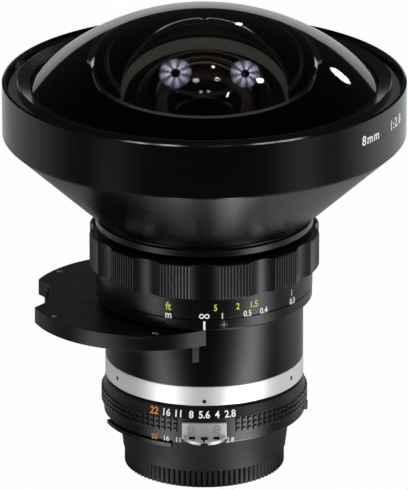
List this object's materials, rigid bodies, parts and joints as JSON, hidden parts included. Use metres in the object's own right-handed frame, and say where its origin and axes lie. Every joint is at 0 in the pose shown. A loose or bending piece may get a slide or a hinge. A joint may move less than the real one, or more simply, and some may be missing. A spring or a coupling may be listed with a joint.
{
  "type": "circular fisheye lens",
  "caption": "Circular fisheye camera lens with domed front glass, flared hood, ribbed focus ring, filter turret, aperture ring with metering prong, bayonet mount and rear cap.",
  "frame": {"origin": "on the optical axis at the foot of the rear cap", "axes": "+Z along the optical axis towards the front glass; index marks face -Y; filter turret on -X"},
  "size_m": [0.123, 0.123, 0.145],
  "materials": {
    "cap_plastic": "fine moulded texture",
    "chrome_steel": "polished",
    "satin_chrome": "satin chrome plate",
    "steel": "turned",
    "blade_black": "matt black",
    "brass": "turned, greased",
    "sleeve_aluminium": "turned, greased",
    "gloss_black": "black enamel, semi-gloss",
    "satin_black": "black anodised, satin",
    "matt_black": "matt black anodised",
    "coated_glass": "coated optical glass",
    "clear_filter_glass": "polished",
    "light_yellow_glass": "polished",
    "yellow_glass": "polished",
    "orange_glass": "polished",
    "red_glass": "polished"
  },
  "bodies": {
    "barrel": {"bayonet_flange": "chrome_steel", "bayonet_screws": "chrome_steel", "rear_neck": "matt_black", "lever_guard": "matt_black", "rear_cell": "matt_black", "rear_element_1": "coated_glass", "rear_element_2": "coated_glass", "rear_element_3": "coated_glass", "rear_retaining_ring": "matt_black", "chrome_ring": "satin_chrome", "chrome_ring_screws": "steel", "main_barrel": "satin_black", "wheel_pivot": "steel", "wheel_click_ball": "steel", "turret_body": "satin_black", "turret_cover": "satin_black", "turret_screws": "steel", "turret_saddle": "satin_black", "index_ring": "satin_black", "index_screw": "steel", "focus_lock_ring": "brass", "iris_plate": "matt_black", "iris_retainer": "matt_black", "aperture_click_ball": "steel"},
    "front_unit": {"helicoid_sleeve": "sleeve_aluminium", "front_collar": "gloss_black", "collar_screws": "steel", "cone_shell": "gloss_black", "hood_ring": "gloss_black", "front_cell": "matt_black", "front_element": "coated_glass", "front_retaining_ring": "gloss_black", "second_element": "coated_glass", "second_retaining_ring": "matt_black", "third_element": "coated_glass", "fourth_element": "coated_glass", "inner_barrel": "matt_black"},
    "focus_ring": {"focus_ring": "satin_black", "helicoid_nut": "brass"},
    "aperture_ring": {"aperture_ring": "satin_black", "meter_prong": "satin_chrome", "prong_screws": "steel", "aperture_drive_arm": "steel"},
    "iris_drive": {"iris_drive_ring": "steel", "stop_down_lever": "steel"},
    "filter_wheel": {"filter_wheel": "satin_black", "filter_clear": "clear_filter_glass", "filter_light_yellow": "light_yellow_glass", "filter_yellow": "yellow_glass", "filter_orange": "orange_glass", "filter_red": "red_glass", "filter_rings": "matt_black"},
    "rear_cap": {"rear_cap": "cap_plastic"},
    "blade_1": {"iris_blade_1": "blade_black"},
    "blade_2": {"iris_blade_2": "blade_black"},
    "blade_3": {"iris_blade_3": "blade_black"},
    "blade_4": {"iris_blade_4": "blade_black"},
    "blade_5": {"iris_blade_5": "blade_black"},
    "blade_6": {"iris_blade_6": "blade_black"},
    "blade_7": {"iris_blade_7": "blade_black"}
  },
  "joints": [
    {"name": "focus_turn", "type": "hinge", "parent": "barrel", "child": "focus_ring", "pos_m": [0, 0, 0.0676], "axis": [0, 0, 1], "range_deg": [-54, 0]},
    {"name": "front_slide", "type": "slide", "parent": "barrel", "child": "front_unit", "axis": [0, 0, 1], "range_m": [0, 0.0004]},
    {"name": "aperture_turn", "type": "hinge", "parent": "barrel", "child": "aperture_ring", "pos_m": [0, 0, 0.0231], "axis": [0, 0, 1], "range_deg": [-14.8, 29.6]},
    {"name": "iris_drive_turn", "type": "hinge", "parent": "barrel", "child": "iris_drive", "pos_m": [0, 0, 0.0434], "axis": [0, 0, 1], "range_deg": [-14.9, 29.7]},
    {"name": "filter_turn", "type": "hinge", "parent": "barrel", "child": "filter_wheel", "pos_m": [-0.0178, 0, 0.0518], "axis": [0, 0, 1], "continuous": true},
    {"name": "cap_turn", "type": "hinge", "parent": "barrel", "child": "rear_cap", "pos_m": [0, 0, 0.0084], "axis": [0, 0, 1], "range_deg": [0, 60]},
    {"name": "blade_1_turn", "type": "hinge", "parent": "barrel", "child": "blade_1", "pos_m": [0.01907, 0.00405, 0.0453], "axis": [0, 0, 1], "range_deg": [-8.68, 17.27]},
    {"name": "blade_2_turn", "type": "hinge", "parent": "barrel", "child": "blade_2", "pos_m": [0.00872, 0.01744, 0.0453], "axis": [0, 0, 1], "range_deg": [-8.68, 17.27]},
    {"name": "blade_3_turn", "type": "hinge", "parent": "barrel", "child": "blade_3", "pos_m": [-0.0082, 0.01769, 0.0453], "axis": [0, 0, 1], "range_deg": [-8.68, 17.27]},
    {"name": "blade_4_turn", "type": "hinge", "parent": "barrel", "child": "blade_4", "pos_m": [-0.01894, 0.00462, 0.0453], "axis": [0, 0, 1], "range_deg": [-8.68, 17.27]},
    {"name": "blade_5_turn", "type": "hinge", "parent": "barrel", "child": "blade_5", "pos_m": [-0.01543, -0.01193, 0.0453], "axis": [0, 0, 1], "range_deg": [-8.68, 17.27]},
    {"name": "blade_6_turn", "type": "hinge", "parent": "barrel", "child": "blade_6", "pos_m": [-0.00029, -0.0195, 0.0453], "axis": [0, 0, 1], "range_deg": [-8.68, 17.27]},
    {"name": "blade_7_turn", "type": "hinge", "parent": "barrel", "child": "blade_7", "pos_m": [0.01506, -0.01239, 0.0453], "axis": [0, 0, 1], "range_deg": [-8.68, 17.27]}
  ],
  "couplings": [
    {"joint": "focus_turn", "follows": "front_slide", "rad_per_m": -2356},
    {"joint": "iris_drive_turn", "follows": "aperture_turn", "ratio": 1},
    {"joint": "blade_1_turn", "follows": "aperture_turn", "ratio": 0.58},
    {"joint": "blade_2_turn", "follows": "aperture_turn", "ratio": 0.58},
    {"joint": "blade_3_turn", "follows": "aperture_turn", "ratio": 0.58},
    {"joint": "blade_4_turn", "follows": "aperture_turn", "ratio": 0.58},
    {"joint": "blade_5_turn", "follows": "aperture_turn", "ratio": 0.58},
    {"joint": "blade_6_turn", "follows": "aperture_turn", "ratio": 0.58},
    {"joint": "blade_7_turn", "follows": "aperture_turn", "ratio": 0.58}
  ]
}
